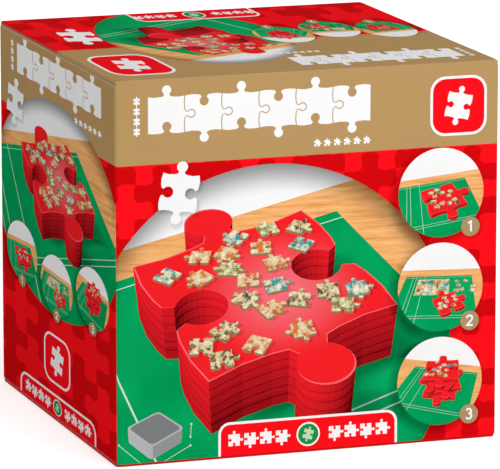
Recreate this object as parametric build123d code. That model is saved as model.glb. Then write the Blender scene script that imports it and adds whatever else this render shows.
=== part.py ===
"""Printed folding carton that stores a nested stack of sorting trays.

Millimetres. The origin is the middle of the underside, +X to the right and
+Y to the back, seen from in front of the carton, and +Z up. Everything is
drawn closed, with the trays seated in each other on the bottom flaps.
"""
import os
from math import asin, cos, degrees, sin

from build123d import *

# Trays: square, with a foot that drops into the rim of the tray below.
TRAY_COUNT = 6
TRAY_SIZE = 200.0
TRAY_CORNER_RADIUS = 22.0
TRAY_WALL = 1.6
TRAY_FLOOR = 1.8
TRAY_PITCH = 12.0            # height of one tray's band in the stack
TRAY_FOOT_DEPTH = 3.0        # how deep a foot sits in the tray below
TRAY_NEST_CLEARANCE = 0.35   # all round the foot
TRAY_RIM_ROUND = 0.4
TRAY_FOOT_ROUND = 1.0
TRAY_FLOOR_ROUND = 1.2

# Carton board and the room that it leaves round and above the stack.
BOARD = 1.2
TRAY_ROOM = 2.8              # beside the trays, to each wall
HEADROOM = 119.7             # above the stack, to the lid
CORNER_RADIUS = 2.0          # outside of the upright folds
FOLD_RADIUS = 0.8            # outside of the folds of lid and flaps
FLAP_GAP = 0.3               # between the lid and the dust flaps under it
TUCK_GAP = 0.5               # in front of the tuck flap
CUT_TRIM = 0.4               # how far a cut edge stays back from the outside

# Flaps
TUCK_LENGTH = 30.0
TUCK_SIDE_GAP = 1.5
TUCK_CORNER_RADIUS = 14.0
DUST_LENGTH = 75.0
DUST_FOLLOW = 0.55           # a dust flap's turn for each turn of the lid
DUST_FOLD_SETBACK = 2.0      # from the corners to the ends of its fold
DUST_SHOULDER = 2.0          # from its fold to where it narrows
DUST_BACK_SETBACK = 6.0
DUST_FRONT_SETBACK = 10.0
DUST_CORNER_RADIUS = 10.0
GLUE_FLAP_WIDTH = 16.0
GLUE_FLAP_END_GAP = 8.0      # above the bottom flaps and under the dust flaps

# Worked out from the sizes above.
CASE_SIZE = TRAY_SIZE + 2 * (TRAY_ROOM + BOARD)
HALF = CASE_SIZE / 2
TRAY_HEIGHT = TRAY_PITCH + TRAY_FOOT_DEPTH
STACK_HEIGHT = TRAY_COUNT * TRAY_PITCH + TRAY_FOOT_DEPTH
FLOOR_LEVEL = 3 * BOARD      # two wide flaps, then the bottom dust flaps
LID_UNDERSIDE = FLOOR_LEVEL + STACK_HEIGHT + HEADROOM
CASE_HEIGHT = LID_UNDERSIDE + BOARD
DUST_LEVEL = LID_UNDERSIDE - FLAP_GAP - BOARD
LID_FRONT = -HALF + BOARD + TUCK_GAP
LID_REACH = HALF - LID_FRONT
# The tuck flap leans in along the chord of the lid's swing, so that its end
# clears the front panel by the tuck gap as the lid is lifted.
TUCK_LEAN = asin(TUCK_LENGTH / (2 * LID_REACH))


def slab(points, bottom, thickness):
    """A flat piece of board with the given outline, seen from above."""
    outline = Polygon(*points, align=None)
    return Pos(0, 0, bottom) * extrude(outline, thickness)


def fold_rounded(piece, axis, end, level):
    """Rounds the long outer edge of a fold at one end of a flat piece."""
    long_axis = Axis.X if axis is Axis.Y else Axis.Y
    edges = piece.edges().filter_by(long_axis).group_by(Axis.Z)[level]
    return fillet(edges.sort_by(axis)[end], FOLD_RADIUS)


def wall_panels():
    """The four walls, folded round and parted in the middle of each fold."""
    outer = RectangleRounded(CASE_SIZE, CASE_SIZE, CORNER_RADIUS)
    inner_size = CASE_SIZE - 2 * BOARD
    inner = RectangleRounded(inner_size, inner_size, CORNER_RADIUS - BOARD)
    ring = outer - inner
    near = HALF - 2 * CORNER_RADIUS
    outer_corners = [(-HALF, -HALF), (HALF, -HALF), (HALF, HALF), (-HALF, HALF)]
    inner_corners = [(-near, -near), (near, -near), (near, near), (-near, near)]
    levels = {
        "front_panel": (2 * BOARD, CASE_HEIGHT),
        "right_panel": (3 * BOARD, DUST_LEVEL),
        "back_panel": (BOARD, LID_UNDERSIDE),
        "left_panel": (3 * BOARD, DUST_LEVEL),
    }
    panels = {}
    for side, (name, (bottom, top)) in enumerate(levels.items()):
        following = (side + 1) % 4
        sector = Polygon(
            outer_corners[side],
            outer_corners[following],
            inner_corners[following],
            inner_corners[side],
            align=None,
        )
        panels[name] = Pos(0, 0, bottom) * extrude(ring & sector, top - bottom)
    return panels


def glue_flap():
    """The strip that joins the left wall to the inside of the back wall."""
    left = -HALF + BOARD
    back = HALF - BOARD
    bottom = FLOOR_LEVEL + GLUE_FLAP_END_GAP
    height = DUST_LEVEL - GLUE_FLAP_END_GAP - bottom
    points = [
        (left + CORNER_RADIUS - BOARD, back - BOARD),
        (left + GLUE_FLAP_WIDTH, back - BOARD),
        (left + GLUE_FLAP_WIDTH, back),
        (left + CORNER_RADIUS - BOARD, back),
    ]
    return slab(points, bottom, height)


def lid_panel():
    """The lid, folded over from the back wall."""
    side = HALF - CUT_TRIM
    points = [(-side, LID_FRONT), (side, LID_FRONT), (side, HALF), (-side, HALF)]
    lid = slab(points, LID_UNDERSIDE, BOARD)
    lid = fillet(lid.edges().filter_by(Axis.Z), CORNER_RADIUS)
    top_edges = lid.edges().filter_by(Axis.X).group_by(Axis.Z)[-1]
    return fillet(top_edges, FOLD_RADIUS)


def lid_tuck_flap():
    """The flap that tucks in behind the front wall."""
    drop = TUCK_LENGTH * cos(TUCK_LEAN)
    lean = TUCK_LENGTH * sin(TUCK_LEAN)
    thick = BOARD / cos(TUCK_LEAN)
    section = Polygon(
        (LID_FRONT, LID_UNDERSIDE),
        (LID_FRONT + lean, LID_UNDERSIDE - drop),
        (LID_FRONT + lean + thick, LID_UNDERSIDE - drop),
        (LID_FRONT + thick, LID_UNDERSIDE),
        align=None,
    )
    half_width = HALF - BOARD - TUCK_SIDE_GAP
    flap = extrude(Plane.YZ * section, half_width, both=True)
    end_corners = flap.edges().group_by(Axis.Z)[0].filter_by(Axis.Y)
    return fillet(end_corners, TUCK_CORNER_RADIUS)


def top_dust_flap():
    """The left dust flap under the lid, narrower towards its free end."""
    fold_end = HALF - DUST_FOLD_SETBACK
    shoulder = -HALF + DUST_SHOULDER
    tip = -HALF + DUST_LENGTH
    taper = DUST_FOLLOW * DUST_LENGTH
    back = HALF - DUST_BACK_SETBACK
    front = -HALF + DUST_FRONT_SETBACK
    points = [
        (-HALF, -fold_end),
        (shoulder, -fold_end),
        (shoulder, front),
        (tip, front + taper),
        (tip, back - taper),
        (shoulder, back),
        (shoulder, fold_end),
        (-HALF, fold_end),
    ]
    flap = slab(points, DUST_LEVEL, BOARD)
    tip_corners = flap.edges().filter_by(Axis.Z).group_by(Axis.X)[-1]
    flap = fillet(tip_corners, DUST_CORNER_RADIUS)
    return fold_rounded(flap, Axis.X, 0, -1)


def bottom_outer_flap():
    """The wide flap that the carton stands on, folded from the back wall."""
    side = HALF - CUT_TRIM
    front = -HALF + CUT_TRIM
    points = [(-side, front), (side, front), (side, HALF), (-side, HALF)]
    flap = slab(points, 0, BOARD)
    flap = fillet(flap.edges().filter_by(Axis.Z), CORNER_RADIUS)
    return fold_rounded(flap, Axis.Y, -1, 0)


def bottom_inner_flap():
    """The wide flap glued on the outer one, folded from the front wall."""
    side = HALF - CUT_TRIM
    back = HALF - BOARD - CUT_TRIM
    points = [(-side, -HALF), (side, -HALF), (side, back), (-side, back)]
    flap = slab(points, BOARD, BOARD)
    return fillet(flap.edges().filter_by(Axis.Z), CORNER_RADIUS)


def bottom_dust_flap():
    """The left flap on the carton's floor, which the trays stand on."""
    side = HALF - BOARD - CUT_TRIM
    tip = -HALF + DUST_LENGTH
    points = [(-HALF, -side), (tip, -side), (tip, side), (-HALF, side)]
    flap = slab(points, 2 * BOARD, BOARD)
    tip_corners = flap.edges().filter_by(Axis.Z).group_by(Axis.X)[-1]
    return fillet(tip_corners, DUST_CORNER_RADIUS)


def rounded_block(inset, bottom, top):
    """A block of the trays' outline, drawn in by the inset all round."""
    size = TRAY_SIZE - 2 * inset
    outline = RectangleRounded(size, size, TRAY_CORNER_RADIUS - inset)
    return Pos(0, 0, bottom) * extrude(outline, top - bottom)


def tray():
    """One tray, standing on the level of zero."""
    foot_inset = TRAY_WALL + TRAY_NEST_CLEARANCE
    foot = rounded_block(foot_inset, 0, TRAY_FOOT_DEPTH)
    foot = fillet(foot.edges().group_by(Axis.Z)[0], TRAY_FOOT_ROUND)
    body = rounded_block(0, TRAY_FOOT_DEPTH, TRAY_HEIGHT)
    ledge_top = TRAY_FOOT_DEPTH + TRAY_WALL
    well = rounded_block(foot_inset + TRAY_WALL, TRAY_FLOOR, ledge_top)
    well = fillet(well.edges().group_by(Axis.Z)[0], TRAY_FLOOR_ROUND)
    mouth = rounded_block(TRAY_WALL, ledge_top, TRAY_HEIGHT)
    shell = foot + body - well - mouth
    rim = shell.edges().group_by(Axis.Z)[-1]
    return fillet(rim, TRAY_RIM_ROUND)


def all_pieces():
    """Every piece of the closed carton and its trays, by name."""
    pieces = wall_panels()
    pieces["glue_flap"] = glue_flap()
    pieces["lid_panel"] = lid_panel()
    pieces["lid_tuck_flap"] = lid_tuck_flap()
    pieces["top_dust_flap_left"] = top_dust_flap()
    pieces["top_dust_flap_right"] = mirror(top_dust_flap(), about=Plane.YZ)
    pieces["bottom_outer_flap"] = bottom_outer_flap()
    pieces["bottom_inner_flap"] = bottom_inner_flap()
    pieces["bottom_dust_flap_left"] = bottom_dust_flap()
    pieces["bottom_dust_flap_right"] = mirror(bottom_dust_flap(), about=Plane.YZ)
    one_tray = tray()
    for number in range(TRAY_COUNT):
        level = FLOOR_LEVEL + number * TRAY_PITCH
        pieces[f"tray_{number + 1}"] = Pos(0, 0, level) * one_tray
    return pieces


os.makedirs("parts", exist_ok=True)
for piece_name, piece in all_pieces().items():
    export_step(piece, f"parts/{piece_name}.step")
print(f"case {CASE_SIZE:.1f} x {CASE_SIZE:.1f} x {CASE_HEIGHT:.1f} mm, stack {STACK_HEIGHT:.1f} mm")
print(f"lid axis y {HALF:.2f} z {LID_UNDERSIDE:.2f}, dust flap axis x {HALF:.2f} z {DUST_LEVEL:.2f}")
print(f"tuck axis y {LID_FRONT + BOARD / cos(TUCK_LEAN):.3f}, lean {degrees(TUCK_LEAN):.2f} degrees")
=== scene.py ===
"""Finish of a printed carton with nested sorting trays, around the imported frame.

Metres, in the frame's axes. The print is drawn flat, in units of the carton's
width with v counted down from the top of a face, and is then laid on the board.
"""
import random
from math import atan2, ceil, cos, hypot, pi, radians, sin

import bpy
from mathutils import Matrix, Vector
from mathutils.geometry import delaunay_2d_cdt


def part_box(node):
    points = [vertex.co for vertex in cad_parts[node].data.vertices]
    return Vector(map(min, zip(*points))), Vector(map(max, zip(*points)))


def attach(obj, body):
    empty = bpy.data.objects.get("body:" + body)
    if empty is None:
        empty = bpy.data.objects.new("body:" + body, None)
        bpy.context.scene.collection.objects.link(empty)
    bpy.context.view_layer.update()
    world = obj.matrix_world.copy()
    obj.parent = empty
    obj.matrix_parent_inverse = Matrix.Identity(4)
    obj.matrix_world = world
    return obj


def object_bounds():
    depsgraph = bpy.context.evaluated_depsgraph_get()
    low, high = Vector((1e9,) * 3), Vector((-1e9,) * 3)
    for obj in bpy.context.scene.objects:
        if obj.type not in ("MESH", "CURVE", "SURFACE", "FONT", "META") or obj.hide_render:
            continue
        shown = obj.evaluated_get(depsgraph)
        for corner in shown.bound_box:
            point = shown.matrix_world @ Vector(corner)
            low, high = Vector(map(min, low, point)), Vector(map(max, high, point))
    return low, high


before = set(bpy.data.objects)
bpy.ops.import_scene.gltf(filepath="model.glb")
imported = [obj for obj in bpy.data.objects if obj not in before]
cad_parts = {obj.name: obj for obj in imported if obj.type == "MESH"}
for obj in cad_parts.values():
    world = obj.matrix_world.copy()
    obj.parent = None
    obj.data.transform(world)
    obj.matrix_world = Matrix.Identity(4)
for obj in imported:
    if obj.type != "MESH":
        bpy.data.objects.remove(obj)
cad_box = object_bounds()

# ---------------------------------------------------------------- sizes
HALF = cad_box[1].x
WIDTH = 2 * HALF
HEIGHT = cad_box[1].z
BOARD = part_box("bottom_outer_flap")[1].z
LID_FRONT, LID_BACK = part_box("lid_panel")[0].y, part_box("lid_panel")[1].y
LID_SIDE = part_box("lid_panel")[1].x
SIDE_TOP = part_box("left_panel")[1].z
BACK_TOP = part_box("back_panel")[1].z
CORNER_RADIUS = 0.002         # of the carton's upright corners
FOLD_RADIUS = 0.0008          # of the lid's and the bottom flap's folds
INK_LIFT = 0.00004            # the print's height above the board
FOLD_TRIM = 0.0001            # how far a print stops short of a fold that opens
FRONT_BAND, SIDE_BAND, LID_BAND = 0.209, 0.206, 0.265   # where the gold ends, in drawings
SIDE_STRETCH = 1.8            # the sides' artwork is drawn narrow and stretched across
LID_STRETCH = 1.8             # the lid's is stretched from front to back
OVERRUN = 0.05                # how far a flat ink runs past the edges of its drawing
FAR_OVERRUN = 0.1             # and how far backdrops, creases and foot tabs do

# ---------------------------------------------------------------- camera
# The photograph's camera, solved from seven corners of the carton.
YAW = radians(18.90)
PITCH = radians(11.46)
LENS, SENSOR = 361.7, 36.0    # millimetres
CORNER_TO_EYE = (0.328, -0.572, -12.331)   # right, down, forward, in carton widths
CLIP_NEAR, CLIP_FAR = 0.1, 100.0


def make_camera():
    """Puts the camera where the photograph was taken from."""
    right = Vector((cos(YAW), -sin(YAW), 0))
    forward = Vector((cos(PITCH) * sin(YAW), cos(PITCH) * cos(YAW), -sin(PITCH)))
    down = Vector((-sin(PITCH) * sin(YAW), -sin(PITCH) * cos(YAW), -cos(PITCH)))
    across, below, ahead = CORNER_TO_EYE
    corner = Vector((-HALF, -HALF, 0))
    place = corner + WIDTH * (across * right + below * down + ahead * forward)
    data = bpy.data.cameras.new("camera")
    data.lens, data.sensor_width = LENS, SENSOR
    data.clip_start, data.clip_end = CLIP_NEAR, CLIP_FAR
    camera = bpy.data.objects.new("camera", data)
    turn = Matrix((right, -down, -forward)).transposed().to_4x4()
    camera.matrix_world = Matrix.Translation(place) @ turn
    bpy.context.scene.collection.objects.link(camera)
    bpy.context.scene.camera = camera


# ---------------------------------------------------------------- materials
BLACK, WHITE = (0.0, 0.0, 0.0, 1.0), (1.0, 1.0, 1.0, 1.0)
NOISE_SPAN = (0.3, 0.7)       # where nearly all values of a noise lie
FLECK_SCALE = 2400.0          # noise scales are per metre, in the art per carton width
PRINT_SPECULAR = 0.0002       # matt inks, so that no haze lies on them at a flat angle
RIM_SHADE = (0.89, 1.08, 0.0, 0.70)   # dark edge of a round picture: from, to, none, full
GRAIN_TURN = radians(-24)     # the printed wood's grain, against the drawing's u


def linear(red, green, blue):
    """The linear colour of an 8-bit display colour."""
    def channel(value):
        part = value / 255
        return part / 12.92 if part <= 0.04045 else ((part + 0.055) / 1.055) ** 2.4
    return (channel(red), channel(green), channel(blue), 1.0)


class Surface:
    """A node material, built one node at a time."""

    def __init__(self, name, roughness=0.4, specular=0.5):
        self.material = bpy.data.materials.new(name)
        self.material.use_nodes = True
        self.tree = self.material.node_tree
        self.shader = self.tree.nodes["Principled BSDF"]
        self.shader.inputs["Roughness"].default_value = roughness
        self.shader.inputs["Specular IOR Level"].default_value = specular

    def node(self, kind, *values, out=0, **settings):
        """Adds a node, fills its inputs in order and returns one output."""
        made = self.tree.nodes.new("ShaderNode" + kind)
        for key, setting in settings.items():
            setattr(made, key, setting)
        for socket, value in zip([s for s in made.inputs if s.enabled], values):
            if isinstance(value, bpy.types.NodeSocket):
                self.tree.links.new(value, socket)
            elif value is not None:
                socket.default_value = value
        return [s for s in made.outputs if s.enabled][out]

    def math(self, operation, *values, clamp=False):
        return self.node("Math", *values, operation=operation, use_clamp=clamp)

    def vector(self, operation, *values):
        return self.node("VectorMath", *values, operation=operation)

    def split(self, vector, axis):
        """One coordinate of a vector."""
        return self.node("SeparateXYZ", vector, out="xyz".index(axis))

    def mix(self, factor, first, second):
        """Mixes two colours."""
        made = self.tree.nodes.new("ShaderNodeMix")
        made.data_type = "RGBA"
        for socket, value in zip((made.inputs[0], made.inputs[6], made.inputs[7]),
                                 (factor, first, second)):
            if isinstance(value, bpy.types.NodeSocket):
                self.tree.links.new(value, socket)
            else:
                socket.default_value = value
        return made.outputs[2]

    def noise(self, vector, scale, detail=2.0, rough=0.5):
        """A cloudy pattern, about 0.5 on average."""
        made = self.tree.nodes.new("ShaderNodeTexNoise")
        self.tree.links.new(vector, made.inputs["Vector"])
        made.inputs["Scale"].default_value = scale
        made.inputs["Detail"].default_value = detail
        made.inputs["Roughness"].default_value = rough
        return made.outputs[0]

    def spread(self, noise, low, high):
        """A noise whose usual values run from low to high."""
        return self.node("MapRange", noise, *NOISE_SPAN, low, high)

    def ramp(self, factor, *stops):
        """A colour ramp through (position, colour) stops."""
        made = self.tree.nodes.new("ShaderNodeValToRGB")
        elements = made.color_ramp.elements
        while len(elements) < len(stops):
            elements.new(0.5)
        for element, (position, colour) in zip(elements, stops):
            element.position, element.color = position, colour
        self.tree.links.new(factor, made.inputs[0])
        return made.outputs[0]

    def attribute(self, name, out):
        """A value that the mesh carries: its Vector or its Fac."""
        made = self.tree.nodes.new("ShaderNodeAttribute")
        made.attribute_name = name
        return made.outputs[out]

    def place(self, kind="Object"):
        """The place in the piece's own axes, or its Normal."""
        return self.tree.nodes.new("ShaderNodeTexCoord").outputs[kind]

    def colour(self, value):
        self.tree.links.new(value, self.shader.inputs["Base Color"])

    def roughness(self, value):
        self.tree.links.new(value, self.shader.inputs["Roughness"])

    def bump(self, height, strength, distance):
        """Relief from a height, with its depth in metres."""
        made = self.tree.nodes.new("ShaderNodeBump")
        made.inputs["Strength"].default_value = strength
        made.inputs["Distance"].default_value = distance
        self.tree.links.new(height, made.inputs["Height"])
        self.tree.links.new(made.outputs[0], self.shader.inputs["Normal"])


INKS = {
    "gold": (187, 151, 99),
    "gold_dot": (176, 149, 104),
    "red": (255, 18, 28),
    "red_deep": (214, 9, 16),
    "white": (251, 251, 251),
    "backdrop": (250, 250, 250),
    "emblem_green": (30, 150, 70),
    "emblem_light": (190, 226, 196),
    "slab_rim": (255, 104, 112),
    "slab_side": (232, 30, 40),
    "card_edge": (150, 122, 84),
    "grey_light": (186, 188, 190),
    "grey": (154, 156, 158),
    "grey_deep": (126, 128, 130),
    "pale_line": (206, 232, 216),
}
CARD_TINTS = (                # the three darker colours on each kind of small piece
    ((84, 78, 66), (214, 196, 148), (238, 226, 188)),
    ((30, 150, 160), (190, 200, 176), (240, 230, 196)),
    ((216, 116, 50), (226, 196, 150), (236, 222, 190)),
    ((120, 136, 60), (206, 196, 150), (242, 232, 200)),
)


def ink_material(name, colour_of):
    """A printed colour, darkened as the drawing's own shade asks."""
    surface = Surface("ink_" + name, specular=PRINT_SPECULAR)
    place = surface.place()
    fleck = surface.spread(surface.noise(place, FLECK_SCALE), 0.0, 0.05)
    cloud = surface.spread(surface.noise(place, 18.0, 3.0), 0.0, 0.04)
    shade = surface.math("ADD", surface.attribute("tone", "Fac"),
                         surface.math("ADD", fleck, cloud), clamp=True)
    away = surface.vector("LENGTH", surface.attribute("disc", "Vector"))
    rim = surface.node("MapRange", away, *RIM_SHADE, interpolation_type="SMOOTHSTEP")
    rim = surface.math("MULTIPLY", rim, surface.attribute("rim", "Fac"))
    shade = surface.math("MULTIPLY_ADD", rim, surface.math("SUBTRACT", 1.0, shade), shade)
    surface.colour(surface.mix(shade, colour_of(surface), BLACK))
    surface.roughness(surface.spread(surface.noise(place, 130.0), 0.38, 0.48))
    surface.bump(surface.noise(place, 900.0), 0.05, 0.0002)
    return surface.material


def plain_ink(rgb):
    """An ink of one colour."""
    return lambda surface: linear(*rgb)


def wood_ink(surface):
    """Printed picture of pale wood, with its grain."""
    art = surface.attribute("art", "Vector")
    turn = (0, 0, GRAIN_TURN)
    broad = surface.noise(surface.node("Mapping", art, None, turn, (7.0, 95.0, 1.0)), 1.0, 4.0, 0.6)
    fine = surface.noise(surface.node("Mapping", art, None, turn, (30.0, 420.0, 1.0)), 1.0)
    grain = surface.math("ADD", broad, surface.math("MULTIPLY", fine, 0.3))
    return surface.ramp(grain, (0.45, linear(224, 148, 80)), (0.62, linear(244, 176, 108)),
                        (0.85, linear(254, 200, 136)))


def cloth_ink(surface):
    """Printed picture of a green mat."""
    art = surface.attribute("art", "Vector")
    soft = surface.noise(art, 5.0, 2.0)
    nap = surface.noise(art, 420.0, 2.0)
    blend = surface.math("ADD", soft, surface.math("MULTIPLY", nap, 0.35))
    return surface.ramp(blend, (0.45, linear(0, 146, 80)), (0.85, linear(8, 172, 100)))


def card_ink(first, second, third):
    """Printed picture of jigsaw pieces that carry scraps of a picture themselves."""
    def colour_of(surface):
        art = surface.attribute("art", "Vector")
        patch = surface.noise(art, 55.0, 3.0, 0.7)
        speck = surface.noise(art, 240.0, 2.0, 0.7)
        blend = surface.math("ADD", patch, surface.math("MULTIPLY", speck, 0.25))
        return surface.ramp(blend, (0.54, linear(*first)), (0.62, linear(*second)),
                            (0.74, linear(*third)), (0.84, linear(252, 246, 226)))
    return colour_of


def glossy_top_ink(surface):
    """Printed picture of red plastic with a broad soft highlight."""
    away = surface.vector("LENGTH", surface.attribute("spot", "Vector"))
    light = surface.node("MapRange", away, 0.0, 1.0, 0.36, 0.0, interpolation_type="SMOOTHSTEP")
    return surface.mix(light, linear(246, 34, 40), linear(255, 176, 190))


def make_inks():
    """All printed colours, by name."""
    made = {name: ink_material(name, plain_ink(rgb)) for name, rgb in INKS.items()}
    made["slab_top"] = ink_material("slab_top", glossy_top_ink)
    made["wood"] = ink_material("wood", wood_ink)
    made["cloth"] = ink_material("cloth", cloth_ink)
    for number, tints in enumerate(CARD_TINTS):
        made[f"card_{number}"] = ink_material(f"card_{number}", card_ink(*tints))
    return made


# ---------------------------------------------------------------- drawing
def oval(u, v, half_u, half_v, steps=96):
    return [(u + half_u * cos(2 * pi * k / steps), v + half_v * sin(2 * pi * k / steps))
            for k in range(steps)]


def circle(u, v, radius, steps=72):
    return oval(u, v, radius, radius, steps)


def rounded(u0, v0, u1, v1, radius=0.0, steps=6):
    """A rectangle, with rounded corners if asked."""
    if radius <= 0:
        return [(u0, v0), (u1, v0), (u1, v1), (u0, v1)]
    centres = ((u1 - radius, v1 - radius, 0), (u0 + radius, v1 - radius, 1),
               (u0 + radius, v0 + radius, 2), (u1 - radius, v0 + radius, 3))
    return [(u + radius * cos((quarter + k / steps) * pi / 2),
             v + radius * sin((quarter + k / steps) * pi / 2))
            for u, v, quarter in centres for k in range(steps + 1)]


def laid(profile, start, end, tab):
    """A profile of (along, out) pairs from start to end, out to one side or the other."""
    along = (end[0] - start[0], end[1] - start[1])
    across = (along[1] * tab, -along[0] * tab)
    return [(start[0] + t * along[0] + h * across[0], start[1] + t * along[1] + h * across[1])
            for t, h in profile]


KNOB_START, KNOB_SWEEP = radians(238), radians(296)   # the round part of a knob


def knob(start, end, tab, head=0.125, wave=0.02, steps=9):
    """Points from start towards end, with a round jigsaw knob."""
    reach = 0.04 + head
    profile = [(0.0, 0.0), (0.17, -wave), (0.32, -0.6 * wave), (0.40, 0.25 * wave)]
    for k in range(steps + 1):
        turn = KNOB_START - KNOB_SWEEP * k / steps
        profile.append((0.5 + head * cos(turn), reach + head * sin(turn)))
    profile += [(0.60, 0.25 * wave), (0.68, -0.6 * wave), (0.83, -wave)]
    return laid(profile, start, end, tab)


def jigsaw(tabs=(1, -1, 1, -1), half_u=0.5, half_v=0.5, **shape):
    """Outline of a jigsaw piece round the origin, one unit wide unless told."""
    corners = rounded(-half_u, -half_v, half_u, half_v)
    points = []
    for side, tab in enumerate(tabs):
        start, end = corners[side], corners[(side + 1) % 4]
        points += knob(start, end, tab, **shape) if tab else [start]
    return points


def placed(points, u, v, size=1.0, turn=0.0):
    """Points scaled, turned and moved."""
    c, s = size * cos(turn), size * sin(turn)
    return [(u + c * x - s * y, v + s * x + c * y) for x, y in points]


def bar(start, end, width):
    """A straight line with width, as a quadrilateral."""
    du, dv = end[0] - start[0], end[1] - start[1]
    length = hypot(du, dv) or 1.0
    nu, nv = -dv / length * width / 2, du / length * width / 2
    return [(start[0] + nu, start[1] + nv), (end[0] + nu, end[1] + nv),
            (end[0] - nu, end[1] - nv), (start[0] - nu, start[1] - nv)]


def signed_area(points):
    return sum(a[0] * b[1] - b[0] * a[1] for a, b in zip(points, points[1:] + points[:1])) / 2


class View:
    """Draws a small scene on a table top as if it were photographed.

    Its x runs to the right, y to the back and z up, in units that are drawn scale wide."""

    def __init__(self, u, v, scale, turn, tilt, distance=6.0):
        self.u, self.v, self.scale, self.distance = u, v, scale, distance
        self.turn, self.tilt = radians(turn), radians(tilt)

    def depth(self, x, y, z=0.0):
        """How far behind the view's middle a point lies."""
        back = x * sin(self.turn) + y * cos(self.turn)
        return back * cos(self.tilt) - z * sin(self.tilt)

    def at(self, x, y, z=0.0):
        """Where a point lies in the drawing."""
        across = x * cos(self.turn) - y * sin(self.turn)
        back = x * sin(self.turn) + y * cos(self.turn)
        up = back * sin(self.tilt) + z * cos(self.tilt)
        near = self.scale * self.distance / (self.distance + self.depth(x, y, z))
        return (self.u + near * across, self.v - near * up)

    def flat(self, points, z=0.0):
        """A level shape at height z."""
        return [self.at(x, y, z) for x, y in points]

    def wall(self, a, b, low, high):
        """An upright strip from a to b."""
        return [self.at(*a, low), self.at(*b, low), self.at(*b, high), self.at(*a, high)]


INSIDE_ONLY = 1               # delaunay_2d_cdt's output type for triangles within the shapes
MERGE_DISTANCE = 1e-6


class Drawing:
    """Inks laid over each other on one face, like paper cut-outs."""

    def __init__(self, outline, seed):
        self.parts = []
        self.glow = (0.5, 0.5, 0.2)             # where the light falls: middle and reach
        self.disc = (0.5, 0.5, 1.0, 1.0, None)  # the round picture: middle, half sizes and clip
        self.outline = self.mask(outline)
        self.random = random.Random(seed)

    def add(self, points, kind, value, clip):
        if signed_area(points) < 0:
            points = points[::-1]
        self.parts.append((points, kind, value, clip))
        return len(self.parts) - 1

    def mask(self, points):
        """A shape that only clips others, known by its number."""
        return self.add(points, "mask", None, None)

    def ink(self, points, name, clip=None):
        """Covers what lies below."""
        self.add(points, "ink", name, clip)

    def tone(self, points, amount, clip=None):
        """Darkens what lies below; the amounts of several tones add up."""
        self.add(points, "tone", amount, clip)

    def faces(self, bends):
        """Points and triangles of the drawing, cut along the bends.

        Each triangle has its ink, its tone and whether it is part of the round picture."""
        places, polygons, edges = [], [], []
        for points, *_ in self.parts:
            first = len(places)
            places += [Vector(p) for p in points]
            polygons.append(list(range(first, first + len(points))))
        for start, end in bends:
            edges.append((len(places), len(places) + 1))
            places += [Vector(start), Vector(end)]
        points, _, triangles, _, _, sources = delaunay_2d_cdt(
            places, edges, polygons, INSIDE_ONLY, MERGE_DISTANCE, True)
        found = []
        for triangle, source in zip(triangles, sources):
            inside = set(source)
            if self.outline not in inside:
                continue
            name, tone, clip = self.top_ink(inside)
            if name:
                found.append((triangle, name, tone, clip is not None and clip == self.disc[4]))
        return points, found

    def top_ink(self, inside):
        """The uppermost ink among the shapes given, the tones over it added up, and its clip."""
        tone = 0.0
        for index in sorted(inside, reverse=True):
            _, kind, value, clip = self.parts[index]
            if kind == "mask" or (clip is not None and clip not in inside):
                continue
            if kind == "ink":
                return value, tone, clip
            tone += value
        return None, tone, None


# ---------------------------------------------------------------- motifs
def pattern_piece():
    """A light piece of the red pattern, one unit wide: notched above and below, knobs beside."""
    half = [(0.0, 0.0), (0.10, -0.016), (0.20, -0.022), (0.28, -0.010), (0.335, 0.030),
            (0.352, 0.085), (0.342, 0.15), (0.324, 0.21), (0.326, 0.265), (0.360, 0.312),
            (0.42, 0.335)]
    profile = half + [(0.5, 0.34)] + [(1 - t, h) for t, h in reversed(half[1:])]
    corners = rounded(-0.5, -0.5, 0.5, 0.5)
    points = []
    for side, tab in enumerate((-1, 1, -1, 1)):
        points += laid(profile, corners[side], corners[(side + 1) % 4], tab)
    return points


def background(drawing, top, bottom, cell, middle):
    """Tone-on-tone red jigsaw pattern, with the middle of one of its light pieces given."""
    drawing.ink(rounded(-OVERRUN, top, 1 + OVERRUN, bottom), "red_deep")
    wide, tall = cell
    u0, v0 = middle
    outline = pattern_piece()
    for i in range(-ceil(u0 / wide) - 1, ceil((1 - u0) / wide) + 2):
        for j in range(-ceil((v0 - top) / tall) - 1, ceil((bottom - v0) / tall) + 2):
            if (i + j) % 2 == 0:
                u, v = u0 + i * wide, v0 + j * tall
                drawing.ink([(u + wide * x, v + tall * y) for x, y in outline], "red")


def gold_band(drawing, bottom):
    """The gold upper part of a face."""
    drawing.ink(rounded(-OVERRUN, -OVERRUN, 1 + OVERRUN, bottom), "gold")


SLAB_LIGHT = radians(205)     # the heading of a side that is lit in full
SLAB_BANDS = 6                # one for each tray
SIDE_SHADE, SIDE_LIFT = 0.88, 0.09   # tone of a side turned from the light, less a little all over
FOOT_SHADES, FOOT_TONE = (0.25, 0.5, 0.75), 0.09   # shares of the height that darken, and by what
BAND_SHARE, BAND_TONE = 0.15, 0.24   # a dark line's share of its band, and its tone
INNER_TOP = 0.985             # size of the upper side within its bright rim


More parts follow.
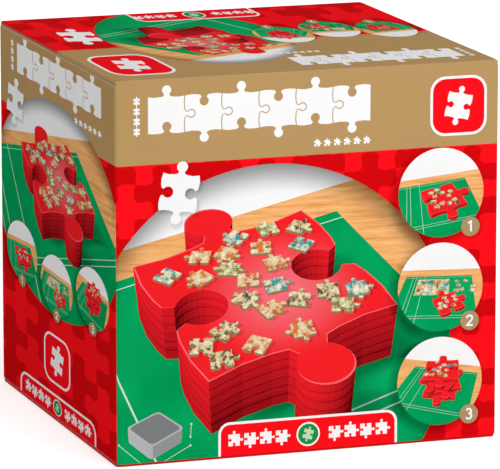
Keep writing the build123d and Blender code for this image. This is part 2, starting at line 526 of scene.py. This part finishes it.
def slab(drawing, view, outline, bottom, top, clip, bands=1):
    """A thick red board with upright edges, plain or banded, lying on the table."""
    count, thick = len(outline), top - bottom
    turn = 1 if signed_area(outline) > 0 else -1
    sides = []
    for k in range(count):
        a, b = outline[k], outline[(k + 1) % count]
        heading = atan2(-(b[0] - a[0]) * turn, (b[1] - a[1]) * turn) + view.turn
        mid_depth = view.depth((a[0] + b[0]) / 2, (a[1] + b[1]) / 2)
        sides.append((-mid_depth, heading, a, b))
    for _, heading, a, b in sorted(sides):
        light = 0.5 + 0.5 * cos(heading - SLAB_LIGHT)
        wall = view.wall(a, b, bottom, top)
        drawing.ink(wall, "slab_side", clip)
        drawing.tone(wall, max(0.0, SIDE_SHADE * (1 - light) - SIDE_LIFT), clip)
        if bands > 1 and sin(heading) < 0.05:       # only the sides that the view sees
            for share in FOOT_SHADES:
                drawing.tone(view.wall(a, b, bottom, bottom + thick * share), FOOT_TONE, clip)
            for band in range(1, bands):
                level = bottom + thick * band / bands
                line = BAND_SHARE * thick / bands
                drawing.tone(view.wall(a, b, level, level + line), BAND_TONE, clip)
    drawing.ink(view.flat(outline, top), "slab_rim", clip)
    drawing.ink(view.flat(placed(outline, 0, 0, INNER_TOP), top), "slab_top", clip)


def card(drawing, view, x, y, z, size, clip):
    """A small jigsaw piece lying flat."""
    chance = drawing.random
    tabs = [chance.choice((1, -1, 1, -1, 0)) for _ in range(4)]
    outline = placed(jigsaw(tabs, head=0.13, steps=6), x, y, size, chance.uniform(0, 2 * pi))
    ink = f"card_{chance.randrange(4)}"
    shadow = [(px + 0.16 * size, py - 0.10 * size) for px, py in outline]
    thick = 0.13 * size
    drawing.tone(view.flat(shadow, z), 0.22, clip)
    drawing.ink(view.flat(outline, z), "card_edge", clip)
    drawing.ink(view.flat(outline, z + thick), ink, clip)


def within(x, y, outline):
    """Whether a point lies inside an outline."""
    found = False
    for (ax, ay), (bx, by) in zip(outline, outline[1:] + outline[:1]):
        if (ay > y) != (by > y) and x < (bx - ax) * (y - ay) / (by - ay) + ax:
            found = not found
    return found


TRIES = 30                    # places tried for each small piece


def scatter(drawing, view, count, half, z, size, clip, middle=(0.0, 0.0), area=None):
    """Small pieces spread at random, none on another, the far ones first."""
    chance = drawing.random
    reach, apart = 0.6 * size, 1.28 * size
    spots = []
    for _ in range(count * TRIES):
        x, y = middle[0] + chance.uniform(-half, half), middle[1] + chance.uniform(-half, half)
        corners = rounded(x - reach, y - reach, x + reach, y + reach)
        if area and not all(within(*corner, area) for corner in corners):
            continue
        if all(hypot(x - u, y - v) > apart for u, v in spots):
            spots.append((x, y))
        if len(spots) == count:
            break
    for x, y in sorted(spots, key=lambda spot: -view.depth(*spot)):
        card(drawing, view, x, y, z, size, clip)


def table_top(drawing, view, clip, mat=(-1.95, -3.0, 1.30, 1.22), far=1.62):
    """White backdrop, a wooden table as far as its back edge and a green mat with thin lines."""
    low, high = -FAR_OVERRUN, 1 + FAR_OVERRUN
    drawing.ink(rounded(low, low, high, high), "backdrop", clip)
    drawing.ink(view.flat(rounded(-6, -5, 6, far)), "wood", clip)
    x0, y0, x1, y1 = mat
    drawing.ink(view.flat(rounded(*mat)), "cloth", clip)
    line = 0.013
    for x in (x0 + 0.34, x0 + 0.48, x0 + 0.86):
        drawing.ink(view.flat(rounded(x, y0, x + line, y1)), "pale_line", clip)
    for y in (y1 - 0.12, -1.02, -1.12):
        drawing.ink(view.flat(rounded(x0, y, x1, y + line)), "pale_line", clip)


def picture(drawing, disc, view):
    """The large picture: a thick red jigsaw piece on a green mat, with small pieces on it."""
    u, v, half_u, half_v = disc
    clip = drawing.mask(oval(*disc))
    drawing.disc = (u, v + 0.065 * half_v, half_u, half_v, clip)
    table_top(drawing, view, clip)
    top = 0.46
    outline = placed(jigsaw(head=0.135, steps=24), 0, 0, 1.42, radians(2))
    for k in range(12):                             # twelve steps make the shadow soft
        reach = 0.14 + 0.022 * k
        shadow = [(x + reach, y - 0.3 * reach) for x, y in placed(outline, 0, 0, 1.02)]
        drawing.tone(view.flat(shadow), 0.040, clip)
    slab(drawing, view, outline, 0.0, top, clip, SLAB_BANDS)
    drawing.glow = (*view.at(0.10, -0.16, top), 0.72 * view.scale)
    scatter(drawing, view, 34, 0.68, top, 0.150, clip, area=outline)


DIGITS = {                    # strokes round a numeral's middle, nearly one unit tall
    1: (((-0.22, 0.28), (0.06, 0.46), (0.06, -0.46)),),
    2: (((-0.27, 0.22), (-0.20, 0.38), (0.0, 0.46), (0.20, 0.38), (0.26, 0.20), (0.18, 0.02),
         (-0.26, -0.42), (0.30, -0.42)),),
    3: (((-0.24, 0.32), (-0.08, 0.45), (0.12, 0.43), (0.23, 0.28), (0.18, 0.10), (-0.02, 0.03)),
        ((-0.02, 0.03), (0.20, -0.04), (0.27, -0.22), (0.16, -0.41), (-0.06, -0.46),
         (-0.27, -0.33))),
}


def number_dot(drawing, u, v, radius, number):
    """A small gold disc with a plain white numeral."""
    for k in range(3):
        drawing.tone(circle(u + 0.002, v + 0.002, radius + 0.003 * k, 40), 0.09)
    drawing.ink(circle(u, v, radius, 40), "gold_dot")
    size, width = 1.15 * radius, 0.20 * radius
    for line in DIGITS[number]:
        points = [(u + size * x, v - size * y) for x, y in line]
        for a, b in zip(points, points[1:]):
            drawing.ink(bar(a, b, width), "white")
        for u1, v1 in points[1:-1]:
            drawing.ink(circle(u1, v1, width / 2, 10), "white")


def inset(drawing, u, v, radius, number, dot):
    """A small round picture with a number: one thick piece, a spread or a fanned pile."""
    for k in range(6):
        shade = circle(u - 0.12 * radius, v + 0.10 * radius, radius * (0.97 + 0.035 * k))
        drawing.tone(shade, 0.072)
    clip = drawing.mask(circle(u, v, radius))
    view = View(u + 0.05 * radius, v + 0.18 * radius, 0.62 * radius, 24 - 14 * number, 40)
    table_top(drawing, view, clip, (-1.7, -3.0, 1.2, 1.25), 1.75)
    if number == 1:
        top = 0.16
        slab(drawing, view, placed(jigsaw((1, 1, -1, -1), head=0.13), 0, 0, 1.35, 0.2),
             0.0, top, clip)
        scatter(drawing, view, 12, 0.48, top, 0.16, clip)
    elif number == 2:
        pitch, top, place = 0.34, 0.14, (0.25, -0.55)
        for column in range(4):
            for row in range(3):
                cell = placed(rounded(-0.5, -0.5, 0.5, 0.5),
                              -0.95 + pitch * column, 0.85 - pitch * row, 0.33)
                drawing.ink(view.flat(cell), f"card_{(column + 2 * row) % 4}", clip)
        slab(drawing, view, placed(jigsaw((-1, 1, 1, -1), head=0.13), *place, 0.85, 0.5),
             0.0, top, clip)
        scatter(drawing, view, 8, 0.30, top, 0.14, clip, place)
        scatter(drawing, view, 7, 0.35, 0.0, 0.17, clip, (0.85, 0.55))
    else:
        rise, thick = 0.24, 0.13
        for level, turn in enumerate((0.1, 0.5, -0.2, 0.25)):
            slab(drawing, view, placed(jigsaw(head=0.13), 0, 0, 1.15, turn),
                 rise * level, rise * level + thick, clip)
        scatter(drawing, view, 12, 0.40, 3 * rise + thick, 0.14, clip)
    number_dot(drawing, u + dot[0] * radius, v + dot[1] * radius, 0.22 * radius, number)


def small(drawing, u, v, size, tabs=(1, -1, 1, -1), turn=0.0, name="white"):
    """A small flat jigsaw piece of one ink."""
    drawing.ink(placed(jigsaw(tabs, steps=6), u, v, size, turn), name)


def title(drawing, u0, v0, width, pieces=6):
    """A row of interlocking white jigsaw pieces, with a small column and row beside it."""
    step = width / pieces
    middle, half = v0 + 0.62 * step, 0.47
    for k in range(pieces):
        u = u0 + (k + 0.5) * step
        up = -1 if k % 2 else 1
        left = 0 if k == 0 else -1
        right = 0 if k == pieces - 1 else 1
        tabs = (up, right, -up, left)
        drawing.ink(placed(jigsaw(tabs, half_v=half), u, middle, step), "white")
        if right:
            start = (u + step / 2, middle - half * step)
            end = (u + step / 2, middle + half * step)
            seam = knob(start, end, 1) + [end]
            for a, b in zip(seam, seam[1:]):
                drawing.ink(bar(a, b, 0.055 * step), "gold")
    for k in range(4):
        small(drawing, u0 - 0.30 * step, v0 + (0.24 + 0.26 * k) * step, 0.16 * step)
    for k in range(6):
        small(drawing, u0 + width - (0.10 + 0.27 * k) * step, v0 + 1.60 * step, 0.155 * step,
              (1, 1, -1, -1))


def crest(drawing, u, v, size):
    """A rounded red badge with a white line and one white jigsaw piece."""
    for half, radius, name in ((0.5, 0.26, "white"), (0.455, 0.22, "red")):
        reach = half * size
        drawing.ink(rounded(u - reach, v - reach, u + reach, v + reach, radius * size), name)
    drawing.ink(placed(jigsaw(), u, v, 0.42 * size, radians(12)), "white")


def badge(drawing, u, v, size):
    """A blank white jigsaw piece with a soft shadow."""
    outline, turn = jigsaw(head=0.15, wave=0.03), 0.14
    for k in range(9):
        shade = placed(outline, u + 0.045 * size, v + 0.065 * size, size * (0.97 + 0.022 * k), turn)
        drawing.tone(shade, 0.026)
    drawing.ink(placed(outline, u, v, size, turn), "white")


def banner(drawing, u0, u1, top, bottom):
    """The red tab at the foot of a face, with a white edge and a green emblem."""
    line, radius = 0.0065, 0.03
    foot = bottom + FAR_OVERRUN
    drawing.ink(rounded(u0, top, u1, foot, radius), "white")
    drawing.ink(rounded(u0 + line, top + line, u1 - line, foot, radius - line), "red")
    middle, level = (u0 + u1) / 2, (top + line + bottom) / 2
    size = 0.36 * (bottom - top)
    drawing.ink(circle(middle, level, size), "white")
    drawing.ink(circle(middle, level, 0.86 * size), "emblem_green")
    small(drawing, middle, level, 0.80 * size, turn=0.3, name="emblem_light")
    pitch = (u1 - u0) * 0.088
    for side in (-1, 1):
        for k in range(4):
            up = 1 if k % 2 else -1
            u = middle + side * (2.0 * size + (k + 0.2) * pitch)
            small(drawing, u, level, 0.72 * pitch, (up, 1, -up, -1))


def size_sketch(drawing, u, v, size):
    """A small grey block with its dimension lines."""
    view = View(u, v, size, 38, 38, 9.0)
    square = rounded(-0.5, -0.5, 0.5, 0.5, 0.12, 3)
    count, top, bands = len(square), 0.38, 5
    sides = sorted((-view.depth(*square[k]), k) for k in range(count))
    for _, k in sides:
        a, b = square[k], square[(k + 1) % count]
        heading = atan2(-(b[0] - a[0]), b[1] - a[1]) + view.turn
        drawing.ink(view.wall(a, b, 0, top), "grey_light" if cos(heading) < 0 else "grey")
        for band in range(1, bands):
            level = top / bands * band
            drawing.tone(view.wall(a, b, level, level + 0.014), 0.3)
    drawing.ink(view.flat(square, top), "grey_light")
    drawing.ink(view.flat(placed(square, 0, 0, 0.9), top), "grey_deep")
    for start, end in (((-0.5, -0.74, 0), (0.5, -0.74, 0)), ((-0.74, -0.5, 0), (-0.74, 0.5, 0)),
                       ((0.72, -0.5, 0), (0.72, -0.5, top))):
        a, b = view.at(*start), view.at(*end)
        drawing.ink(bar(a, b, 0.0016), "pale_line")
        for point in (a, b):
            drawing.ink(circle(*point, 0.0028, 12), "pale_line")


# ---------------------------------------------------------------- faces of the carton
def front_art(drawing, foot):
    """The wide face: title, large round picture, three insets and the foot tab."""
    background(drawing, FRONT_BAND, foot, (0.1352, 0.131), (0.795, 0.3214))
    picture(drawing, (0.40, 0.700, 0.475, 0.475), View(0.375, 0.655, 0.345, 24, 40))
    gold_band(drawing, FRONT_BAND)
    title(drawing, 0.085, 0.028, 0.575)
    crest(drawing, 0.893, 0.108, 0.150)
    badge(drawing, 0.164, 0.283, 0.094)
    for number in (1, 2, 3):
        inset(drawing, 0.848, 0.325 + 0.240 * (number - 1), 0.113, number, (0.70, 0.80))
    size_sketch(drawing, 0.10, 0.900, 0.105)
    banner(drawing, 0.264, 0.735, 0.868, foot)


def side_art(drawing, foot):
    """A narrower layout: a wide picture, three insets in a row, a badge and the tab."""
    middle = 0.5 / SIDE_STRETCH
    background(drawing, SIDE_BAND, foot, (0.170, 0.130), (0.043, 0.7214))
    gold_band(drawing, SIDE_BAND)
    picture(drawing, (middle, 0.410, 0.300, 0.275), View(middle, 0.385, 0.178, 24, 40))
    title(drawing, 0.090, 0.020, 0.405, 5)
    badge(drawing, 0.078, 0.190, 0.075)
    for number in (1, 2, 3):
        u = middle + 0.172 * (number - 2)
        inset(drawing, u, 0.605 - 0.030 * (number != 2), 0.077, number, (0.0, 1.0))
    crest(drawing, middle, 0.800, 0.128)
    banner(drawing, middle - 0.185, middle + 0.185, 0.890, foot)


def lid_art(drawing, foot):
    """The lid reads upright from behind, with the gold nearest the front."""
    background(drawing, LID_BAND, foot, (0.1352, 0.180), (0.882, 0.4266))
    gold_band(drawing, LID_BAND)
    picture(drawing, (0.605, 0.320, 0.232, 0.232), View(0.595, 0.305, 0.158, 24, 40))
    title(drawing, 0.055, 0.034, 0.43)
    crest(drawing, 0.885, 0.122, 0.170)
    for number, u in ((1, 0.095), (2, 0.235), (3, 0.375)):
        inset(drawing, u, 0.300 + 0.025 * (number == 2), 0.072, number, (0.0, 1.0))
    badge(drawing, 0.880, 0.375, 0.085)
    banner(drawing, 0.32, 0.66, 0.470, foot)


def base_art(drawing, foot):
    """The underside has the red pattern alone."""
    background(drawing, 0, foot, (0.133, 0.133), (0.5, 0.5))


BEND_SHARES = (1 / 3, 2 / 3, 1)    # where a print is creased on a round fold


class Face:
    """Where a drawing lies: a wall of the carton, with its ends bent round the corners.

    The drawing may be stretched across, as on the two side walls. Its two ends reach half
    way round the corners, where they meet their neighbours."""

    def __init__(self, name, along, outward, top, bottom, stretch):
        self.name, self.stretch = name, stretch
        self.along, self.outward = along, outward
        self.foot = (HEIGHT - bottom) / WIDTH
        self.outline = rounded(0, (HEIGHT - top) / WIDTH, 1 / stretch, self.foot)
        ends = [share * CORNER_RADIUS / WIDTH for share in BEND_SHARES]
        self.bends = [((u / stretch, -FAR_OVERRUN), (u / stretch, 1 + FAR_OVERRUN))
                      for end in ends for u in (end, 1 - end)]

    def place(self, u, v):
        """The point of space that a point of the drawing lies on."""
        across = (u * self.stretch - 0.5) * WIDTH
        straight, reach = HALF - CORNER_RADIUS, CORNER_RADIUS + INK_LIFT
        out = straight + reach
        over = abs(across) - straight
        if over > 0:
            turn = over / CORNER_RADIUS * pi / 4
            across = (straight + reach * sin(turn)) * (1 if across > 0 else -1)
            out = straight + reach * cos(turn)
        point = self.along * across + self.outward * out
        point.z = HEIGHT - v * WIDTH
        return point


class LevelFace:
    """The lid's upper side, or with the sign turned the carton's underside.

    Its front and back ends may run over a fold."""

    def __init__(self, name, along, level, sign, low, high, half_width, folds, stretch=1.0):
        self.name, self.along, self.level, self.sign = name, along, level, sign
        self.low, self.high, self.folds, self.stretch = low, high, folds, stretch
        length = (high - low) / WIDTH
        self.foot = length / stretch
        side = 0.5 - half_width / WIDTH
        self.outline = [(u, v / stretch) for u, v in
                        rounded(side, 0, 1 - side, length, CORNER_RADIUS / WIDTH, 4)]
        ends = [share * FOLD_RADIUS / WIDTH for share in BEND_SHARES]
        self.bends = [((-FAR_OVERRUN, v / stretch), (1 + FAR_OVERRUN, v / stretch))
                      for end in ends for v in (end, length - end)]

    def place(self, u, v):
        """The point of space that a point of the drawing lies on."""
        deep = self.low + v * self.stretch * WIDTH
        drop, reach = 0.0, FOLD_RADIUS + INK_LIFT
        for fold, end, way in zip(self.folds, (self.low, self.high), (-1, 1)):
            over = FOLD_RADIUS - abs(end - deep)
            if fold and over > 0:
                turn = over / FOLD_RADIUS * pi / 2
                deep = end - way * FOLD_RADIUS + way * reach * sin(turn)
                drop = reach - reach * cos(turn)
        across = (u - 0.5) * WIDTH * self.along
        return Vector((across, deep, self.level + self.sign * (INK_LIFT - drop)))


def print_sheet(face, art, seed, inks, body):
    """Lays one drawing on its face of the carton."""
    drawing = Drawing(face.outline, seed)
    art(drawing, face.foot)
    points, triangles = drawing.faces(face.bends)
    used = sorted({index for triangle, *_ in triangles for index in triangle})
    renumber = {index: k for k, index in enumerate(used)}
    mesh = bpy.data.meshes.new(face.name)
    mesh.from_pydata([face.place(*points[index]) for index in used], [],
                     [[renumber[index] for index in triangle] for triangle, *_ in triangles])
    names = sorted({name for _, name, *_ in triangles})
    for name in names:
        mesh.materials.append(inks[name])
    mesh.polygons.foreach_set("material_index", [names.index(name) for _, name, *_ in triangles])
    mesh.polygons.foreach_set("use_smooth", [True] * len(triangles))
    u0, v0, reach = drawing.glow
    u1, v1, half_u, half_v, _ = drawing.disc
    for name, u, v, scale_u, scale_v in (("art", 0, 0, 1, 1),
                                         ("spot", u0, v0, 1 / reach, 1.4 / reach),
                                         ("disc", u1, v1, 1 / half_u, 1 / half_v)):
        places = mesh.attributes.new(name, "FLOAT_VECTOR", "POINT")
        rows = [((points[index].x - u) * scale_u, (points[index].y - v) * scale_v, 0.0)
                for index in used]
        places.data.foreach_set("vector", [part for row in rows for part in row])
    for name, column in (("tone", 2), ("rim", 3)):
        values = mesh.attributes.new(name, "FLOAT", "FACE")
        values.data.foreach_set("value", [float(row[column]) for row in triangles])
    sheet = bpy.data.objects.new(face.name, mesh)
    bpy.context.scene.collection.objects.link(sheet)
    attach(sheet, body)


def lay_prints():
    """Prints the four walls, the lid and the underside."""
    inks = make_inks()
    side_foot = 2 * BOARD
    side_top, back_top = SIDE_TOP - FOLD_TRIM, BACK_TOP - BOARD - FOLD_TRIM
    x, y = Vector((1, 0, 0)), Vector((0, 1, 0))
    walls = (("print_front", x, -y, HEIGHT, BOARD, front_art, 11, 1.0),
             ("print_right", y, x, side_top, side_foot, side_art, 12, SIDE_STRETCH),
             ("print_back", -x, y, back_top, BOARD, front_art, 13, 1.0),
             ("print_left", -y, -x, side_top, side_foot, side_art, 14, SIDE_STRETCH))
    for name, along, outward, top, bottom, art, seed, stretch in walls:
        print_sheet(Face(name, along, outward, top, bottom, stretch), art, seed, inks, "carton")
    lid = LevelFace("print_lid", -1, HEIGHT, 1, LID_FRONT, LID_BACK - FOLD_RADIUS, LID_SIDE,
                    (True, False), LID_STRETCH)
    print_sheet(lid, lid_art, 15, inks, "lid")
    low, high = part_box("bottom_outer_flap")
    base = LevelFace("print_base", 1, 0.0, -1, low.y, high.y, high.x, (False, True))
    print_sheet(base, base_art, 16, inks, "carton")


# ---------------------------------------------------------------- board and plastic
FIBRE_SCALE = (260.0, 260.0, 900.0)
BOARD_SPECULAR = 0.02
CUT_DEPTH = 0.0005            # what counts as the top cut edge of a wall
CUT_INK = 0.65                # how much of the ink's colour that edge takes on
WALL_OUT, FLAP_OUT = 0.06, 0.09   # a face this far out from the middle is an outer face
FOLD_BLEED = 0.012            # how far the neighbour's ink runs over a dust flap's fold


def board_material(name, printed_colour, mask_of):
    """Carton board: coated and inked on its outer side, raw fibre inside and on cut edges."""
    surface = Surface(name, specular=BOARD_SPECULAR)
    place = surface.place()
    fibres = surface.noise(surface.node("Mapping", place, None, None, FIBRE_SCALE), 1.0, 4.0, 0.65)
    raw = surface.ramp(fibres, (0.30, linear(196, 184, 162)), (0.55, linear(214, 205, 186)),
                       (0.80, linear(228, 221, 206)))
    blotch = surface.spread(surface.noise(place, 30.0, 3.0), 0.0, 0.12)
    raw = surface.mix(blotch, raw, linear(176, 160, 136))
    fleck = surface.spread(surface.noise(place, FLECK_SCALE), 0.0, 0.05)
    ink = surface.mix(fleck, printed_colour(surface, place), linear(150, 140, 130))
    mask = mask_of(surface, place)
    surface.colour(surface.mix(mask, raw, ink))
    surface.roughness(surface.node("MapRange", mask, 0.0, 1.0, 0.78, 0.34))
    surface.bump(fibres, 0.12, 0.0003)
    return surface.material


def one_ink(rgb):
    """The same ink all over."""
    return lambda surface, place: linear(*rgb)


def two_inks(axis, level, below, above):
    """Ink that changes at a level along an axis, as the drawings over it do."""
    def colour_of(surface, place):
        past = surface.math("GREATER_THAN", surface.split(place, axis), level)
        return surface.mix(past, linear(*below), linear(*above))
    return colour_of


def turned_out(surface, place, axes, least):
    """One where the surface faces out from the middle of the carton along the axes given."""
    away = surface.vector("MULTIPLY", place, axes)
    outward = surface.vector("DOT_PRODUCT", away, surface.place("Normal"))
    return surface.math("GREATER_THAN", outward, least)


def outside_walls(surface, place):
    """One where a wall faces out from the middle of the carton, and less on its top cut edge."""
    top_edge = surface.math("GREATER_THAN", surface.split(place, "z"), HEIGHT - CUT_DEPTH)
    return surface.math("MAXIMUM", turned_out(surface, place, (1, 1, 0), WALL_OUT),
                        surface.math("MULTIPLY", top_edge, CUT_INK))


def facing(direction, least, rim=False):
    """One where the surface faces a direction of the rest frame, and on its outer rim if asked."""
    def mask_of(surface, place):
        toward = surface.vector("DOT_PRODUCT", surface.place("Normal"), direction)
        mask = surface.math("GREATER_THAN", toward, least)
        if rim:
            outer = turned_out(surface, place, (1, 0, 0), FLAP_OUT)
            mask = surface.math("MAXIMUM", mask, outer)
        return mask
    return mask_of


def bleed(inside_rgb, fold_rgb):
    """A flap's outer side: the neighbour's colour runs over its fold and then stops."""
    def colour_of(surface, place):
        off_middle = surface.math("ABSOLUTE", surface.split(place, "x"))
        distance = surface.math("SUBTRACT", HALF, off_middle)
        near = surface.math("LESS_THAN", distance, FOLD_BLEED)
        return surface.mix(near, linear(*inside_rgb), linear(*fold_rgb))
    return colour_of


def plastic_material():
    """Satin red moulded plastic with the fine grain of a spark-eroded mould."""
    surface = Surface("tray_plastic")
    place = surface.place()
    cloud = surface.noise(place, 14.0, 3.0)
    grain = surface.noise(place, 2200.0, 2.0)
    colour = surface.ramp(cloud, (0.30, linear(196, 12, 20)), (0.70, linear(212, 18, 26)))
    fleck = surface.node("MapRange", grain, 0.35, 0.65, 0.0, 0.10)
    surface.colour(surface.mix(fleck, colour, linear(120, 4, 10)))
    surface.roughness(surface.spread(grain, 0.36, 0.50))
    surface.bump(grain, 0.15, 0.0002)
    return surface.material


def dress_nodes():
    """Gives every carried-over piece its material."""
    gold, red, paper = INKS["gold"], INKS["red_deep"], (240, 238, 232)
    up, front = (0, 0, 1), (0, -1, 0)
    wall_band = HEIGHT - SIDE_BAND * WIDTH
    walls = board_material("wall_board", two_inks("z", wall_band, red, gold), outside_walls)
    lid_band = LID_FRONT + LID_BAND * LID_STRETCH * WIDTH
    lid = board_material("lid_board", two_inks("y", lid_band, gold, red),
                         facing(up, least=0.3, rim=True))
    dust = board_material("dust_flap_board", bleed(paper, gold), facing(up, least=0.15, rim=True))
    tuck = board_material("tuck_flap_board", one_ink(gold), facing(front, least=0.5))
    base = board_material("base_board", one_ink(red), outside_walls)
    plastic = plastic_material()
    chosen = {"lid_panel": lid, "lid_tuck_flap": tuck,
              "top_dust_flap_left": dust, "top_dust_flap_right": dust,
              "bottom_outer_flap": base, "bottom_inner_flap": base,
              "bottom_dust_flap_left": base, "bottom_dust_flap_right": base}
    for name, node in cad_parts.items():
        material = plastic if name.startswith("tray_") else chosen.get(name, walls)
        node.data.materials.clear()
        node.data.materials.append(material)


# ---------------------------------------------------------------- studio
FLOOR_REACH = 30.0
FLOOR_DROP = 0.0002           # how far the floor lies below the carton
FLOOR_LIFT = 0.54             # the floor's own light near the carton, as far as it is seen
LIFT_SPAN = (0.5, 4.0)        # from where to where that light grows to full white
WORLD_STRENGTH = 0.10         # the surround's light on the carton
LAMPS = (  # name, azimuth, elevation, distance, size, power in watts
    ("key", 12, 24, 2.4, 1.6, 35.2),
    ("right", 62, 30, 2.6, 1.4, 9.0),
    ("left", -75, 20, 2.6, 1.4, 14.6),
    ("top", 10, 84, 2.4, 1.8, 13.0),
    ("behind", 190, 40, 2.8, 1.6, 14.0),
)
SEEN_RAYS = ("Is Camera Ray", "Is Glossy Ray", "Is Transmission Ray")


def seen_rays(tree):
    """One for the rays that show the surroundings, straight or in a reflection."""
    rays = tree.nodes.new("ShaderNodeLightPath").outputs
    seen = rays[SEEN_RAYS[0]]
    for other in SEEN_RAYS[1:]:
        either = tree.nodes.new("ShaderNodeMath")
        either.operation = "MAXIMUM"
        tree.links.new(seen, either.inputs[0])
        tree.links.new(rays[other], either.inputs[1])
        seen = either.outputs[0]
    return seen


def make_floor():
    """A plain pale floor that the camera sees as almost white and that keeps the shadow."""
    mesh = bpy.data.meshes.new("studio_floor")
    corners = rounded(-FLOOR_REACH, -FLOOR_REACH, FLOOR_REACH, FLOOR_REACH)
    mesh.from_pydata([(x, y, 0) for x, y in corners], [], [(0, 1, 2, 3)])
    floor = bpy.data.objects.new("studio_floor", mesh)
    floor.location.z = -FLOOR_DROP
    surface = Surface("floor_paper", roughness=0.9, specular=0.1)
    cloud = surface.noise(surface.place(), 6.0)
    surface.colour(surface.ramp(cloud, (0.3, (0.86, 0.86, 0.86, 1)), (0.7, (0.88, 0.88, 0.88, 1))))
    away = surface.vector("LENGTH", surface.place())
    lift = surface.node("MapRange", away, *LIFT_SPAN, FLOOR_LIFT, 1.0)
    lift = surface.math("MULTIPLY", seen_rays(surface.tree), lift)
    surface.shader.inputs["Emission Color"].default_value = WHITE
    surface.tree.links.new(lift, surface.shader.inputs["Emission Strength"])
    mesh.materials.append(surface.material)
    bpy.context.scene.collection.objects.link(floor)


def make_lights():
    """Soft boxes round the carton, and a dim even surround that is seen as white."""
    middle = Vector((0, 0, HEIGHT / 2))
    for name, azimuth, elevation, distance, size, power in LAMPS:
        a, e = radians(azimuth), radians(elevation)
        away = Vector((sin(a) * cos(e), -cos(a) * cos(e), sin(e)))
        data = bpy.data.lights.new(name, "AREA")
        data.shape, data.size, data.energy = "SQUARE", size, power
        lamp = bpy.data.objects.new(name, data)
        turn = away.to_track_quat("Z", "Y").to_matrix().to_4x4()
        lamp.matrix_world = Matrix.Translation(middle + distance * away) @ turn
        bpy.context.scene.collection.objects.link(lamp)
    world = bpy.data.worlds.new("studio")
    bpy.context.scene.world = world
    world.use_nodes = True
    tree = world.node_tree
    strength = tree.nodes.new("ShaderNodeMapRange")
    strength.inputs["To Min"].default_value = WORLD_STRENGTH
    tree.links.new(seen_rays(tree), strength.inputs["Value"])
    surround = tree.nodes["Background"].inputs
    surround["Color"].default_value = WHITE
    tree.links.new(strength.outputs[0], surround["Strength"])


make_camera()
make_floor()
make_lights()
dress_nodes()
lay_prints()
bpy.context.scene.view_settings.view_transform = "Standard"
